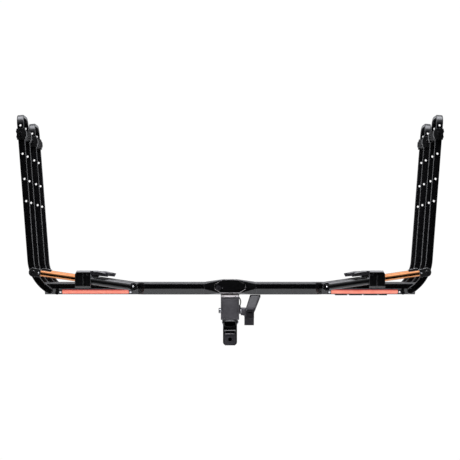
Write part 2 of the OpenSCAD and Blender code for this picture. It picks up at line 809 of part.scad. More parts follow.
module strut_cylinder() {
    color(coat) on_strut() difference() {
        union() {
            rotate([0, 90, 0]) cylinder(r = cylinder_r, h = head_outer - 12);
            rotate([90, 0, 0]) cylinder(r = cylinder_r, h = 2 * cylinder_r - 4, center = true);
        }
        translate([18, 0, 0]) rotate([0, 90, 0]) cylinder(r = bore_r, h = head_outer);
        rotate([90, 0, 0]) cylinder(r = base_pin_r + run, h = 60, center = true);
    }
}

// Head block on the cylinder's outer end, with the rod's gland
module strut_head() {
    low = -32;
    high = 32;
    color(cast) difference() {
        translate([0, strut_y, 0]) difference() {
            translate([-535.3, 0, 245.6]) front_profile(-20, 15.5) difference() {
                round_rect(56.6, 64, 4);
                // Rounded upper outboard corner, lever slot in the top, chamfer below
                translate([-28.3, high]) difference() {
                    translate([-1, -17]) square(18);
                    translate([18, -18]) circle(18);
                }
            }
            // Lever slot on the inboard side
            block([-526, -8.3, 252], [-500, 8.3, 290]);
            // Bright chamfer along the lower rear edge
            translate([0, -20, 213.6]) rotate([45, 0, 0]) block([-570, -5, -5], [-500, 5, 5]);
            // Seam
            block([-534.5, -21, 210], [-533.3, -19, 280]);
            rod_along_y(lever_pin[0], lever_pin[1], -30, 30, lever_pin_r + run);
        }
        on_strut() rotate([0, 90, 0]) {
            cylinder(r = rod_r + run, h = 300);
            cylinder(r = cylinder_r + run, h = head_outer - 12);
        }
    }
}

// Lever in the head's slot: lifted to let the arm go
module release_lever() {
    color(coat_grey) translate([0, strut_y, 0]) difference() {
        union() {
            front_profile(-7.8, 7.8) polygon([[-522, 262.5], [-524, 270], [-520, 275.8],
                [-482, 275.8], [-440, 267.2], [-441, 264], [-446, 254.4],
                [-470, 257], [-490, 259], [-513, 261.5]]);
            front_profile(-14, 14) polygon([[-498, 262], [-498, 275.8], [-482, 275.8],
                [-452, 269.7], [-452, 256.6], [-470, 259]]);
        }
        rod_along_y(lever_pin[0], lever_pin[1], -30, 30, lever_pin_r + run);
    }
    color(steel) rod_along_y(lever_pin[0], lever_pin[1], strut_y - 19, strut_y + 14, lever_pin_r);
}

module strut_rod() {
    inner = stroke + 20;
    color(gold) on_strut() rotate([0, 90, 0]) {
        translate([0, 0, inner]) cylinder(r = rod_r, h = strut_l - 24 - inner);
        translate([0, 0, inner]) cylinder(r = bore_r - run, h = 10);
    }
}

// Eye on the rod's outer end, its pin reaching to the face of the arm
module rod_end() {
    color(cast) on_strut() translate([strut_l, 0, 0]) {
        difference() {
            union() {
                rotate([-90, 0, 0]) cylinder(r = 16.5, h = 26, center = true);
                translate([-26, -13, -15]) cube([26, 26, 30]);
            }
            translate([-27, 0, 0]) rotate([0, 90, 0]) cylinder(r = rod_r + 0.02, h = 3.02);
            translate([-19.3, -14, 0]) rotate([-90, 0, 0]) cylinder(r = 2.6, h = 2);
        }
        rotate([-90, 0, 0]) cylinder(r = eye_pin_r, h = -strut_y - bar_out - 0.3);
        translate([-19.3, -13.6, 0]) rotate([-90, 0, 0]) cylinder(r = 2.4, h = 3);
    }
}

hitch_tongue();
tongue_end_plate();
pivot_bracket();
bracket_bolts();
pivot_axle();
cam_draw_bolt();
draw_rod();
cam_wedge();
spine();
spine_end_cap();
pivot_bushes();
tray_hubs();
tray_centers();
tray_wings();
wing_end_caps();
strut_brackets();
arm_pivot_pins();
light_housings();
light_lenses();
frame_screws();
wiring_conduit();
lock_core();
tilt_lever();
latch_pin();
at(REAR, LEFT) arm();  // arm_rear_left
at(REAR, RIGHT) arm();  // arm_rear_right
at(FRONT, LEFT) arm();  // arm_front_left
at(FRONT, RIGHT) arm();  // arm_front_right
at(REAR, LEFT) cradle();  // cradle_rear_left
at(REAR, RIGHT) cradle();  // cradle_rear_right
at(FRONT, LEFT) cradle();  // cradle_front_left
at(FRONT, RIGHT) cradle();  // cradle_front_right
at(REAR, LEFT) cradle_pad();  // cradle_pad_rear_left
at(REAR, RIGHT) cradle_pad();  // cradle_pad_rear_right
at(FRONT, LEFT) cradle_pad();  // cradle_pad_front_left
at(FRONT, RIGHT) cradle_pad();  // cradle_pad_front_right
at(REAR, LEFT) cradle_pin();  // cradle_pin_rear_left
at(REAR, RIGHT) cradle_pin();  // cradle_pin_rear_right
at(FRONT, LEFT) cradle_pin();  // cradle_pin_front_left
at(FRONT, RIGHT) cradle_pin();  // cradle_pin_front_right
at(REAR, LEFT) strut_cylinder();  // strut_cylinder_rear_left
at(REAR, RIGHT) strut_cylinder();  // strut_cylinder_rear_right
at(FRONT, LEFT) strut_cylinder();  // strut_cylinder_front_left
at(FRONT, RIGHT) strut_cylinder();  // strut_cylinder_front_right
at(REAR, LEFT) strut_head();  // strut_head_rear_left
at(REAR, RIGHT) strut_head();  // strut_head_rear_right
at(FRONT, LEFT) strut_head();  // strut_head_front_left
at(FRONT, RIGHT) strut_head();  // strut_head_front_right
at(REAR, LEFT) release_lever();  // release_lever_rear_left
at(REAR, RIGHT) release_lever();  // release_lever_rear_right
at(FRONT, LEFT) release_lever();  // release_lever_front_left
at(FRONT, RIGHT) release_lever();  // release_lever_front_right
at(REAR, LEFT) strut_rod();  // strut_rod_rear_left
at(REAR, RIGHT) strut_rod();  // strut_rod_rear_right
at(FRONT, LEFT) strut_rod();  // strut_rod_front_left
at(FRONT, RIGHT) strut_rod();  // strut_rod_front_right
at(REAR, LEFT) rod_end();  // rod_end_rear_left
at(REAR, RIGHT) rod_end();  // rod_end_rear_right
at(FRONT, LEFT) rod_end();  // rod_end_front_left
at(FRONT, RIGHT) rod_end();  // rod_end_front_right
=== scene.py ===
"""Looks for the two-bike hitch rack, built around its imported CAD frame. Metres, +Z up, rear at -Y."""

import json
import math

import bmesh
import bpy
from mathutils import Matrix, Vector

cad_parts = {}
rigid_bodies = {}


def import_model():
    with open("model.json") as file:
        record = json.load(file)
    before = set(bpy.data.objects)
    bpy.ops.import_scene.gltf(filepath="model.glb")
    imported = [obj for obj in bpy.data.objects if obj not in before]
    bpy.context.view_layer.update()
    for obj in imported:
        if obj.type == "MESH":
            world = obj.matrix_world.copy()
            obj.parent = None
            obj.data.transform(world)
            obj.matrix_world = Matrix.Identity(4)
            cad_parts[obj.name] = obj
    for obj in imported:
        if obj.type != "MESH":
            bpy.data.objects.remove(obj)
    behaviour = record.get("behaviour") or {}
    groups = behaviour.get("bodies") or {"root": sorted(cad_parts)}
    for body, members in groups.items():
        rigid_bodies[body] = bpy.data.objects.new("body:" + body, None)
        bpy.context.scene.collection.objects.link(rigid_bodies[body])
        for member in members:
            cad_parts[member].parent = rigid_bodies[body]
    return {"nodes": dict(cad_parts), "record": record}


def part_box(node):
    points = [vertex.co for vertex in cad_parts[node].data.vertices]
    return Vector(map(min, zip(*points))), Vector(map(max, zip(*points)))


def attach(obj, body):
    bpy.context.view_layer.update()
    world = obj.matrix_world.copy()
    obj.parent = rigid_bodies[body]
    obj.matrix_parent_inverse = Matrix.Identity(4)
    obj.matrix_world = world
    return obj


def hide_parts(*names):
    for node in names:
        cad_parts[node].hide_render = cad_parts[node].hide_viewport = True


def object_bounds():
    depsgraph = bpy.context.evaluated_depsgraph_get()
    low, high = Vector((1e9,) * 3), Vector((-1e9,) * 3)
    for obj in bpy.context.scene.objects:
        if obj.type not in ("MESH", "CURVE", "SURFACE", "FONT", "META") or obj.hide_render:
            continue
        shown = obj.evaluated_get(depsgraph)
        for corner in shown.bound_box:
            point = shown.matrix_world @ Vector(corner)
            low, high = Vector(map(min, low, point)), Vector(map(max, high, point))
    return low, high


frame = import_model()
cad_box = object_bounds()
JOINTS = {j["name"]: j for j in frame["record"]["behaviour"]["joints"]}
SETS = [(tray, side) for tray in ("rear", "front") for side in ("left", "right")]
MM = 0.001

# ---------- materials ----------


def node(tree, kind, **values):
    """Adds a shader node and sets its inputs or properties by name."""
    made = tree.nodes.new("ShaderNode" + kind)
    for key, value in values.items():
        name = key.replace("_", " ").title().replace("Ior", "IOR")
        if name in made.inputs:
            made.inputs[name].default_value = value
        else:
            setattr(made, key, value)
    return made


def blank(name):
    """A new node material: (material, tree, its principled shader, object coordinates)."""
    made = bpy.data.materials.new(name)
    made.use_nodes = True
    tree = made.node_tree
    shader = tree.nodes["Principled BSDF"]
    coords = node(tree, "TexCoord").outputs["Object"]
    return made, tree, shader, coords


def noise(tree, coords, scale, detail=3.0, roughness=0.5, stretch=None):
    """Noise at a number of features per metre, stretched if asked."""
    texture = node(tree, "TexNoise", scale=scale, detail=detail, roughness=roughness)
    if stretch:
        mapping = node(tree, "Mapping")
        mapping.inputs["Scale"].default_value = stretch
        tree.links.new(coords, mapping.inputs["Vector"])
        coords = mapping.outputs["Vector"]
    tree.links.new(coords, texture.inputs["Vector"])
    return texture.outputs["Fac"]


def remap(tree, value, low, high, start=0.0, end=1.0):
    """Maps start..end to low..high, clamped."""
    made = node(tree, "MapRange")
    tree.links.new(value, made.inputs["Value"])
    made.inputs["From Min"].default_value = start
    made.inputs["From Max"].default_value = end
    made.inputs["To Min"].default_value = low
    made.inputs["To Max"].default_value = high
    return made.outputs["Result"]


def mix(tree, factor, a, b):
    """Mixes two colours; each may be a socket or an (r, g, b)."""
    made = node(tree, "Mix", data_type="RGBA")
    for socket, value in ((made.inputs[6], a), (made.inputs[7], b)):
        if isinstance(value, tuple):
            socket.default_value = (*value, 1.0)
        else:
            tree.links.new(value, socket)
    if isinstance(factor, float):
        made.inputs[0].default_value = factor
    else:
        tree.links.new(factor, made.inputs[0])
    return made.outputs[2]


def soft_edge(tree, radius):
    """Rounded normals along edges, and how far each point is on an edge."""
    bevel = node(tree, "Bevel", samples=4, radius=radius)
    flat = node(tree, "NewGeometry").outputs["Normal"]
    dot = node(tree, "VectorMath", operation="DOT_PRODUCT")
    tree.links.new(bevel.outputs["Normal"], dot.inputs[0])
    tree.links.new(flat, dot.inputs[1])
    return bevel.outputs["Normal"], remap(tree, dot.outputs["Value"], 1.0, 0.0, 0.86, 0.995)


def bump(tree, height, strength, distance, normal=None):
    """Surface normals from a height, on top of other normals if given."""
    made = node(tree, "Bump", strength=strength, distance=distance)
    tree.links.new(height, made.inputs["Height"])
    if normal:
        tree.links.new(normal, made.inputs["Normal"])
    return made.outputs["Normal"]


def coated(name, base, rough, peel=0.12, edge=0.0009, edge_highlight=(0.16, 0.16, 0.17), edge_highlight_peak=0.35, shine=0.55):
    """Powder coat: orange peel, faint dust, and a painted highlight along its edges, flecked with
    speckle.
    """
    made, tree, shader, coords = blank(name)
    normal, on_edge = soft_edge(tree, edge)
    dust = noise(tree, coords, 7.0, 5.0, 0.6)
    speck = noise(tree, coords, 260.0, 4.0, 0.65)
    peel_height = noise(tree, coords, 900.0, 2.0, 0.4)
    lighter = tuple(c * 1.55 + 0.002 for c in base)
    colour = mix(tree, remap(tree, dust, 0.0, 1.0, 0.35, 0.7), base, lighter)
    # Painted highlight: edges are mixed towards a pale grey, broken up by speckle noise, in place of
    # light caught on rounded edges.
    edge_highlight_mask = node(tree, "Math", operation="MULTIPLY")
    tree.links.new(on_edge, edge_highlight_mask.inputs[0])
    tree.links.new(remap(tree, speck, 0.15, edge_highlight_peak, 0.3, 0.62), edge_highlight_mask.inputs[1])
    colour = mix(tree, edge_highlight_mask.outputs[0], colour, edge_highlight)
    tree.links.new(colour, shader.inputs["Base Color"])
    tree.links.new(
        remap(tree, speck, rough - 0.05, rough + 0.09, 0.3, 0.7), shader.inputs["Roughness"]
    )
    tree.links.new(bump(tree, peel_height, peel, 0.0002, normal), shader.inputs["Normal"])
    shader.inputs["Specular IOR Level"].default_value = shine
    return made


def moulded(name, base, rough, grain=0.35, shine=0.4):
    """Moulded plastic or rubber with a fine leathery grain and a painted highlight along its edges."""
    made, tree, shader, coords = blank(name)
    normal, on_edge = soft_edge(tree, 0.0008)
    cells = node(tree, "TexVoronoi", scale=950.0, feature="SMOOTH_F1")
    tree.links.new(coords, cells.inputs["Vector"])
    dust = noise(tree, coords, 22.0, 6.0, 0.65)
    lighter = tuple(c * 1.7 + 0.004 for c in base)
    colour = mix(tree, remap(tree, dust, 0.0, 0.9, 0.4, 0.75), base, lighter)
    # Painted highlight: edges are mixed towards a paler tone.
    pale = tuple(min(1.0, c * 2.2 + 0.02) for c in base)
    colour = mix(tree, remap(tree, on_edge, 0.0, 0.35), colour, pale)
    tree.links.new(colour, shader.inputs["Base Color"])
    tree.links.new(remap(tree, dust, rough - 0.06, rough + 0.1), shader.inputs["Roughness"])
    tree.links.new(
        bump(tree, cells.outputs["Distance"], grain, 0.00025, normal), shader.inputs["Normal"]
    )
    shader.inputs["Specular IOR Level"].default_value = shine
    return made


def machined(name, base, rough, stretch=(30.0, 900.0, 900.0), metal=1.0, painted_shade_below=None):
    """Bright metal with fine turning marks, a little tarnish and a painted highlight on its edges,
    painted near-black as shade below a given height.
    """
    made, tree, shader, coords = blank(name)
    normal, on_edge = soft_edge(tree, 0.0005)
    marks = noise(tree, coords, 1.0, 3.0, 0.6, stretch)
    tarnish = noise(tree, coords, 45.0, 5.0, 0.6)
    darker = tuple(c * 0.62 for c in base)
    colour = mix(tree, remap(tree, tarnish, 0.0, 0.7, 0.4, 0.8), base, darker)
    # Painted highlight: edges are mixed towards near-white.
    colour = mix(tree, remap(tree, on_edge, 0.0, 0.5), colour, (0.9, 0.9, 0.92))
    # Painted shade: below the given height the colour turns near-black.
    if painted_shade_below is not None:
        split = node(tree, "SeparateXYZ")
        tree.links.new(coords, split.inputs[0])
        lit = remap(tree, split.outputs["Z"], 0.0, 1.0, painted_shade_below - 0.004, painted_shade_below)
        colour = mix(tree, lit, (0.006, 0.006, 0.007), colour)
    tree.links.new(colour, shader.inputs["Base Color"])
    tree.links.new(remap(tree, marks, rough - 0.06, rough + 0.12), shader.inputs["Roughness"])
    tree.links.new(bump(tree, marks, 0.12, 0.0001, normal), shader.inputs["Normal"])
    shader.inputs["Metallic"].default_value = metal
    return made


def anodised_gold(name):
    """Gold anodised rod, brushed along its length under a thin clear coat."""
    made, tree, shader, coords = blank(name)
    marks = noise(tree, coords, 1.0, 4.0, 0.6, (25.0, 1500.0, 1500.0))
    cloud = noise(tree, coords, 18.0, 3.0, 0.5)
    colour = mix(tree, remap(tree, cloud, 0.0, 1.0, 0.35, 0.7), (0.43, 0.17, 0.062), (0.47, 0.2, 0.08))
    tree.links.new(colour, shader.inputs["Base Color"])
    tree.links.new(remap(tree, marks, 0.2, 0.32), shader.inputs["Roughness"])
    tree.links.new(bump(tree, marks, 0.06, 0.0001), shader.inputs["Normal"])
    shader.inputs["Metallic"].default_value = 1.0
    shader.inputs["Coat Weight"].default_value = 0.25
    shader.inputs["Coat Roughness"].default_value = 0.08
    return made


def lit_lens(name, low, high):
    """Red ribbed lens over warm light: salmon in its body, deep red along its upper edge."""
    made, tree, shader, coords = blank(name)
    normal, _ = soft_edge(tree, 0.001)
    split = node(tree, "SeparateXYZ")
    tree.links.new(coords, split.inputs[0])
    top = remap(tree, split.outputs["Z"], 0.0, 1.0, low + 0.6 * (high - low), high - 0.0012)
    ribs = node(tree, "TexWave", scale=95.0, wave_profile="SIN", bands_direction="X")
    tree.links.new(coords, ribs.inputs["Vector"])
    cloud = noise(tree, coords, 30.0, 2.0)
    body = mix(tree, remap(tree, cloud, 0.0, 1.0, 0.3, 0.7), (0.86, 0.2, 0.13), (0.93, 0.27, 0.18))
    colour = mix(tree, top, body, (0.62, 0.012, 0.03))
    tree.links.new(colour, shader.inputs["Base Color"])
    tree.links.new(colour, shader.inputs["Emission Color"])
    glow = remap(tree, top, 0.52, 0.1)
    tree.links.new(glow, shader.inputs["Emission Strength"])
    tree.links.new(bump(tree, ribs.outputs["Fac"], 0.25, 0.0004, normal), shader.inputs["Normal"])
    shader.inputs["Roughness"].default_value = 0.18
    shader.inputs["Subsurface Weight"].default_value = 0.2
    shader.inputs["Subsurface Radius"].default_value = (0.004, 0.001, 0.0006)
    return made


lens_low, lens_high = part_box("light_lenses")
BLACK = (0.0022, 0.0021, 0.0026)
M = {
    "black_coat": coated("black_powder_coat", BLACK, 0.27),
    "coated_aluminium": coated("black_coated_aluminium", BLACK, 0.25),
    "tongue_coat": coated("black_tongue_coat", BLACK, 0.6, shine=0.0),
    # The casting gets a stronger painted highlight along its edges.
    "cast_black": coated("black_casting", (0.003, 0.003, 0.0034), 0.31, peel=0.25, edge=0.0024,
                         edge_highlight=(0.42, 0.42, 0.44), edge_highlight_peak=0.75),
    "grey_coat": coated("grey_coat", (0.034, 0.032, 0.037), 0.62, peel=0.2, edge=0.0012, shine=0.2),
    "dark_grey": moulded("grey_moulding", (0.052, 0.05, 0.056), 0.5, shine=0.15),
    "black_plastic": moulded("black_moulding", (0.004, 0.004, 0.0045), 0.4),
    "black_rubber": moulded("black_rubber", (0.011, 0.011, 0.011), 0.72, grain=0.6),
    "zinc": machined("zinc_plated_steel", (0.6, 0.6, 0.62), 0.3),
    # These screws are painted near-black below 0.13 m, standing in for shade.
    "screw_zinc": machined("zinc_plated_screws", (0.6, 0.6, 0.62), 0.3, painted_shade_below=0.13),
    # A light satin finish for thin pieces that paint highlights onto black edges.
    "satin_strip": machined("satin_strip", (0.5, 0.47, 0.485), 0.5, metal=0.35),
    "gold_anodised": anodised_gold("gold_anodised"),
    "red_lens": lit_lens("red_lens", lens_low.z, lens_high.z),
}

# ---------- carried-over CAD nodes ----------

# Rounded edges by node, in millimetres; the rest get the default
EDGE_MM = {
    "spine": 2.5, "spine_end_cap": 1.2, "tray_centers": 1.6, "tray_wings": 1.6, "tray_hubs": 3.2,
    "wing_end_caps": 1.0, "hitch_tongue": 2.0, "pivot_bracket": 0.8, "tilt_lever": 0.9,
    "cradle": 1.6, "strut_head": 3.0, "release_lever": 1.8, "rod_end": 2.5, "light_lenses": 1.2,
    "wiring_conduit": 0.6, "strut_cylinder": 0.8, "cradle_pad": 0.5,
}
DEFAULT_EDGE_MM = 0.4
# Finishes that belong to another slot, and nodes whose finish isn't that of their slot
LOOKS = {"hitch_tongue": "tongue_coat", "frame_screws": "screw_zinc"}
slots = {part["node"]: part["material_slot"] for part in frame["record"]["subparts"]}


def family(name):
    """A node's name without its tray and side."""
    for tray, side in SETS:
        name = name.removesuffix(f"_{tray}_{side}")
    return name


def dress(name, cad):
    """Gives a CAD node its finish and rounds its edges with modifiers."""
    cad.data.materials.clear()
    cad.data.materials.append(M[LOOKS.get(name, slots[name])])
    weld = cad.modifiers.new("weld", "WELD")
    weld.merge_threshold = 0.00001
    flat = cad.modifiers.new("flat_faces", "DECIMATE")
    flat.decimate_type = "DISSOLVE"
    flat.angle_limit = math.radians(0.5)
    edge = cad.modifiers.new("edge", "BEVEL")
    edge.width = EDGE_MM.get(family(name), DEFAULT_EDGE_MM) * MM
    edge.segments = 3
    edge.limit_method = "ANGLE"
    edge.angle_limit = math.radians(28)
    edge.harden_normals = False
    for polygon in cad.data.polygons:
        polygon.use_smooth = True
    shade = cad.modifiers.new("shade", "WEIGHTED_NORMAL")
    shade.keep_sharp = False
    shade.weight = 80


for name, cad in frame["nodes"].items():
    dress(name, cad)

# ---------- mesh helpers ----------


def make(name, verts, faces, finish, body):
    """A mesh piece with smooth faces, sharp only at real corners, that rides on a body."""
    mesh = bpy.data.meshes.new(name)
    mesh.from_pydata([tuple(v) for v in verts], [], faces)
    bm = bmesh.new()
    bm.from_mesh(mesh)
    bmesh.ops.recalc_face_normals(bm, faces=bm.faces)
    bm.to_mesh(mesh)
    bm.free()
    for polygon in mesh.polygons:
        polygon.use_smooth = True
    mesh.set_sharp_from_angle(angle=math.radians(38))
    mesh.materials.append(M[finish])
    made = bpy.data.objects.new(name, mesh)
    bpy.context.scene.collection.objects.link(made)
    if body:
        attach(made, body)
    return made


def skin(rings):
    """Vertices and faces joining rings of equal length, capped at both ends."""
    size = len(rings[0])
    verts = [point for ring in rings for point in ring]
    faces = [
        (a * size + i, a * size + (i + 1) % size, (a + 1) * size + (i + 1) % size, (a + 1) * size + i)
        for a in range(len(rings) - 1)
        for i in range(size)
    ]
    last = (len(rings) - 1) * size
    faces.append(tuple(reversed(range(size))))
    faces.append(tuple(range(last, last + size)))
    return verts, faces


def round_box_ring(width, thick, corner, steps=4):
    """Points round a rectangle with rounded corners, about its centre."""
    corner = min(corner, width * 0.45, thick * 0.45)
    points = []
    for sx, sy, start in ((1, 1, 0), (-1, 1, 90), (-1, -1, 180), (1, -1, 270)):
        for i in range(steps + 1):
            a = math.radians(start + 90 * i / steps)
            points.append((
                sx * (width / 2 - corner) + corner * math.cos(a),
                sy * (thick / 2 - corner) + corner * math.sin(a),
            ))
    return points


def round_points(place, across, up, radii):
    """Points evenly round a place, one for each radius."""
    step = 2 * math.pi / len(radii)
    return [
        place + r * (across * math.cos(i * step) + up * math.sin(i * step))
        for i, r in enumerate(radii)
    ]


def cylinder(start, end, radius, sides=40):
    """Vertices and faces of a closed cylinder between two points."""
    axis = (end - start).normalized()
    across = axis.orthogonal().normalized()
    up = axis.cross(across)
    return skin([round_points(p, across, up, [radius] * sides) for p in (start, end)])


def cut(piece, solids):
    """Cuts closed solids out of a piece and keeps the result as its mesh."""
    verts, faces = [], []
    for v, f in solids:
        faces += [tuple(i + len(verts) for i in face) for face in f]
        verts += v
    tool = make(piece.name + "_tool", verts, faces, "black_coat", None)
    carve = piece.modifiers.new("carve", "BOOLEAN")
    carve.object = tool
    carve.solver = "EXACT"
    bpy.context.view_layer.update()
    seen = piece.evaluated_get(bpy.context.evaluated_depsgraph_get())
    mesh = bpy.data.meshes.new_from_object(seen)
    piece.modifiers.clear()
    piece.data = mesh
    bpy.data.objects.remove(tool)
    mesh.set_sharp_from_angle(angle=math.radians(38))


# ---------- hairpin arms ----------

BEND_RADIUS = 139 * MM
BEND_TURN = math.radians(50)
LEG = 13.7 * MM
BAR_WIDTH = 24.5 * MM
BAR_THICK = 10 * MM
BAR_ROUND = 3.6 * MM
LOOP_RADIUS = 33 * MM
HOLE_RADIUS = 4.1 * MM
PIVOT_HOLE_RADIUS = 6.05 * MM
HOLES_UP_FROM_CRADLE = (31.8 * MM, 0.0)
HOLES_DOWN_FROM_CRADLE = (72.0 * MM, 164.2 * MM, 245.4 * MM)


def arm_path(top, half_gap):
    """One bar's centre line and width direction in the arm's own frame, foot at the origin.

    The arm's own X points inboard, Y to the front and Z up along the straight bars.
    """
    stations = []
    foot_angle = BEND_TURN
    tangent = Vector((-math.sin(foot_angle), 0, math.cos(foot_angle)))
    wide = Vector((math.cos(foot_angle), 0, math.sin(foot_angle)))
    half = BAR_WIDTH / 2
    for i in range(9):
        a = math.radians(90 * i / 8)
        stations.append((tangent * (-half * math.cos(a)), wide, max(0.12, math.sin(a))))
    start = tangent * LEG
    centre = start + wide * BEND_RADIUS
    for i in range(33):
        a = BEND_TURN * (1 - i / 32)
        wide = Vector((math.cos(a), 0, math.sin(a)))
        stations.append((centre - wide * BEND_RADIUS, wide, 1.0))
    shift = stations[-1][0].copy()
    wide = Vector((1, 0, 0))
    level = top - LOOP_RADIUS
    for i in range(1, 9):
        stations.append((Vector((shift.x, 0, shift.z + (level - shift.z) * i / 8)), wide, 1.0))
    for i in range(1, 13):
        a = math.radians(90 * i / 12)
        y = LOOP_RADIUS * (1 - math.cos(a))
        z = level + LOOP_RADIUS * math.sin(a)
        stations.append((Vector((shift.x, y, z)), wide, 1.0))
    near = [(p + Vector((0, -half_gap, 0)), w, s) for p, w, s in stations]
    far = [(Vector((p.x, -p.y, p.z)), w, s) for p, w, s in reversed(near)]
    return near + far, shift.x


def build_arm(tray, side):
    """The hairpin: one flat bar swept from foot to foot over the loop, then drilled."""
    name = f"arm_{tray}_{side}"
    hinge = JOINTS[f"arm_fold_{tray}_{side}"]
    down = Vector(JOINTS[f"cradle_slide_{tray}_{side}"]["axis"])
    low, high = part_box(name)
    foot = Vector(hinge["pos_m"])
    up = -down.normalized()
    front = Vector((0, 1, 0))
    inboard = Vector((-math.copysign(1, foot.x), 0, 0))
    inboard = (inboard - up * inboard.dot(up)).normalized()
    half_gap = (high.y - low.y - BAR_THICK) / 2
    # The loop's centre line tops out half a bar below the node's box, less what the lean adds
    lean_rise = abs(inboard.z) * BAR_WIDTH / 2
    top = (high.z - foot.z - lean_rise) / up.z - BAR_THICK / 2
    _, bar_x = arm_path(0.0, half_gap)
    top -= inboard.z * bar_x
    path, bar_x = arm_path(top, half_gap)

    def place(p):
        return foot + inboard * p.x + front * p.y + up * p.z

    rings = []
    for i, (point, wide, size) in enumerate(path):
        before = path[max(i - 1, 0)][0]
        after = path[min(i + 1, len(path) - 1)][0]
        along = (after - before).normalized()
        thick = along.cross(wide).normalized()
        shape = round_box_ring(BAR_WIDTH * size, BAR_THICK, BAR_ROUND)
        rings.append([place(point + wide * x + thick * y) for x, y in shape])
    verts, faces = skin(rings)
    arm = make(f"{name}_bar", verts, faces, "coated_aluminium", None)
    reach = front * (half_gap + BAR_THICK)
    middle = place(Vector((bar_x, 0, 0)))
    cradle_low, cradle_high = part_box(f"cradle_{tray}_{side}")
    cradle_mid = (cradle_low.z + cradle_high.z) / 2
    tools = [cylinder(foot - reach, foot + reach, PIVOT_HOLE_RADIUS)]
    for rise in (*HOLES_UP_FROM_CRADLE, *(-d for d in HOLES_DOWN_FROM_CRADLE)):
        centre = middle + up * ((cradle_mid + rise - middle.z) / up.z)
        tools.append(cylinder(centre - reach, centre + reach, HOLE_RADIUS))
    cut(arm, tools)
    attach(arm, name)
    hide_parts(name)


for tray, side in SETS:
    build_arm(tray, side)

# ---------- weld beads ----------

BEAD_RADIUS, BEAD_STEP = 2.6 * MM, 0.8 * MM
BEAD_SIDES, BEAD_RIPPLE, BEAD_PITCH, BEAD_TIP = 20, 0.14, 4 * MM, 0.35


def bead(name, start, end):
    """A rippled weld bead on the hitch mount, tapered at both ends."""
    length = (end - start).length
    count = max(2, int(length / BEAD_STEP))
    along = (end - start).normalized()
    across = along.orthogonal().normalized()
    up = along.cross(across)
    rings = []
    for i in range(count + 1):
        r = BEAD_RADIUS * (1 + BEAD_RIPPLE * math.sin(2 * math.pi * length * i / count / BEAD_PITCH))
        if i in (0, count):
            r *= BEAD_TIP
        rings.append(round_points(start.lerp(end, i / count), across, up, [r] * BEAD_SIDES))
    verts, faces = skin(rings)
    return make(name, verts, faces, "black_coat", "hitch_mount")


tongue_low, tongue_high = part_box("hitch_tongue")
bracket_low, bracket_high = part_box("pivot_bracket")
for side, x in (("left", -1), ("right", 1)):
    edge = (x * (tongue_high.x - 0.4 * MM), bracket_high.y + 0.6 * MM)
    bead(f"weld_bracket_{side}", Vector((*edge, tongue_low.z + 8 * MM)),
         Vector((*edge, tongue_high.z - 3 * MM)))
    inner_x, inner_z = x * 21.4 * MM, tongue_high.z + 0.5 * MM
    bead(f"weld_inside_{side}", Vector((inner_x, bracket_low.y + 8 * MM, inner_z)),
         Vector((inner_x, bracket_high.y - 8 * MM, inner_z)))

# ---------- small fittings ----------

REARWARD = Vector((0, -1, 0))
SUNK = 0.2 * MM


def plate_outline(half, bottom, top):
    """Corners of a rectangle, in (across, up)."""
    return [(-half, bottom), (half, bottom), (half, top), (-half, top)]


def plate_strip(name, outline, thick, origin, across, up, finish, body, corner=0.0):
    """A flat plate from an outline in (across, up), thick along their normal, edges rounded."""
    normal = across.cross(up).normalized()
    layers = [(0.0, corner), (corner, 0.0), (thick - corner, 0.0), (thick, corner)]
    centre = sum((Vector(p) for p in outline), Vector((0, 0))) / len(outline)
    rings = []
    for depth, inset in layers:
        ring = []
        for p in outline:
            q = Vector(p)
            q -= (q - centre).normalized() * inset
            ring.append(origin + across * q.x + up * q.y + normal * depth)
        rings.append(ring)
    verts, faces = skin(rings)
    return make(name, verts, faces, finish, body)


HEAD_SIDES = 36
HEAD_PROFILE = [(0.0, 0.86), (0.1, 1.0), (0.55, 1.0), (0.85, 0.86), (1.0, 0.6)]
SOCKET_DEPTHS = (1.0, 0.35)
SOCKET_RADIUS = 0.42


def cap_head(name, place, radius, height, finish, body):
    """A domed screw head that looks to -Y, with a hex socket sunk in it."""
    across = REARWARD.orthogonal().normalized()
    up = REARWARD.cross(across)
    rings = [
        round_points(place + REARWARD * height * h, across, up, [radius * r] * HEAD_SIDES)
        for h, r in HEAD_PROFILE
    ]
    sixth = math.pi / 3
    flats = [
        SOCKET_RADIUS * radius * math.cos(sixth / 2)
        / math.cos((2 * math.pi * i / HEAD_SIDES) % sixth - sixth / 2)
        for i in range(HEAD_SIDES)
    ]
    for depth in SOCKET_DEPTHS:
        rings.append(round_points(place + REARWARD * height * depth, across, up, flats))
    verts, faces = skin(rings)
    return make(name, verts, faces, finish, body)


# A light satin strip on the sloping top of the spine's end cap, with two notches: a painted highlight
# along that slope
STRIP_HALF, STRIP_LENGTH, STRIP_THICK = 31 * MM, 14 * MM, 2.6 * MM
STRIP_DROP = 9.6 * MM
NOTCH_XS, NOTCH_UP, NOTCH_RADIUS = (-24.7 * MM, 20 * MM), 3 * MM, 2.2 * MM
cap_low, cap_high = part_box("spine_end_cap")
slope_up = Vector((0, 8.5, 10)).normalized()
sideways = Vector((1, 0, 0))
through = sideways.cross(slope_up) * 4 * STRIP_THICK
strip_foot = Vector((0, cap_low.y, cap_high.z - STRIP_DROP))
strip = plate_strip("cap_top_strip", plate_outline(STRIP_HALF, 0.6 * MM, STRIP_LENGTH), STRIP_THICK,
                    strip_foot, sideways, slope_up, "satin_strip", None, 0.4 * MM)
notches = []
for x in NOTCH_XS:
    at = strip_foot + sideways * x + slope_up * NOTCH_UP
    notches.append(cylinder(at - through, at + through, NOTCH_RADIUS, 24))
cut(strip, notches)
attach(strip, "carrier")

